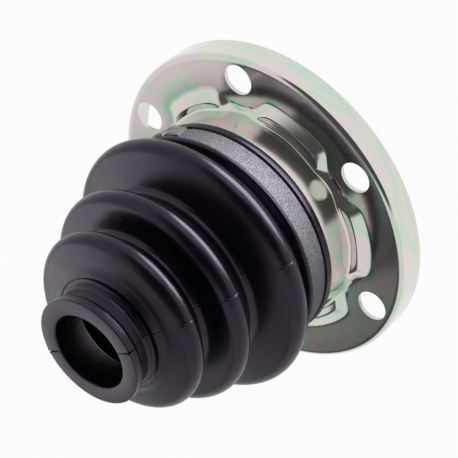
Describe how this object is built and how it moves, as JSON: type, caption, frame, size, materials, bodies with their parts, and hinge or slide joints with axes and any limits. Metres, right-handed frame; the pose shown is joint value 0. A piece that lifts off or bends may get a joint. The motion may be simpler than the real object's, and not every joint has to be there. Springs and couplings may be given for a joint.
{
  "type": "flanged drive shaft boot",
  "caption": "Black rubber bellows boot clamped on the neck of a pressed, zinc-plated bolt-on cap, for the joint end of a drive shaft.",
  "frame": {"origin": "centre of the circle of the cap's skirt rim, on the plane that the rim stands on", "axes": "+Z runs along the shaft's axis from the rim to the boot's small end; +X passes through the middle of one bolt hole"},
  "size_m": [0.1, 0.1, 0.0836],
  "materials": {
    "zinc_plate": "pressed sheet steel with a bright, slightly iridescent zinc plate",
    "moulded_rubber": "moulded black rubber with a soft sheen",
    "phosphate_strip": "dull grey, fine gritty phosphate coat on a steel strip"
  },
  "bodies": {
    "root": {"flange_cap": "zinc_plate", "bellows_boot": "moulded_rubber", "clamp_band": "phosphate_strip"}
  },
  "joints": []
}
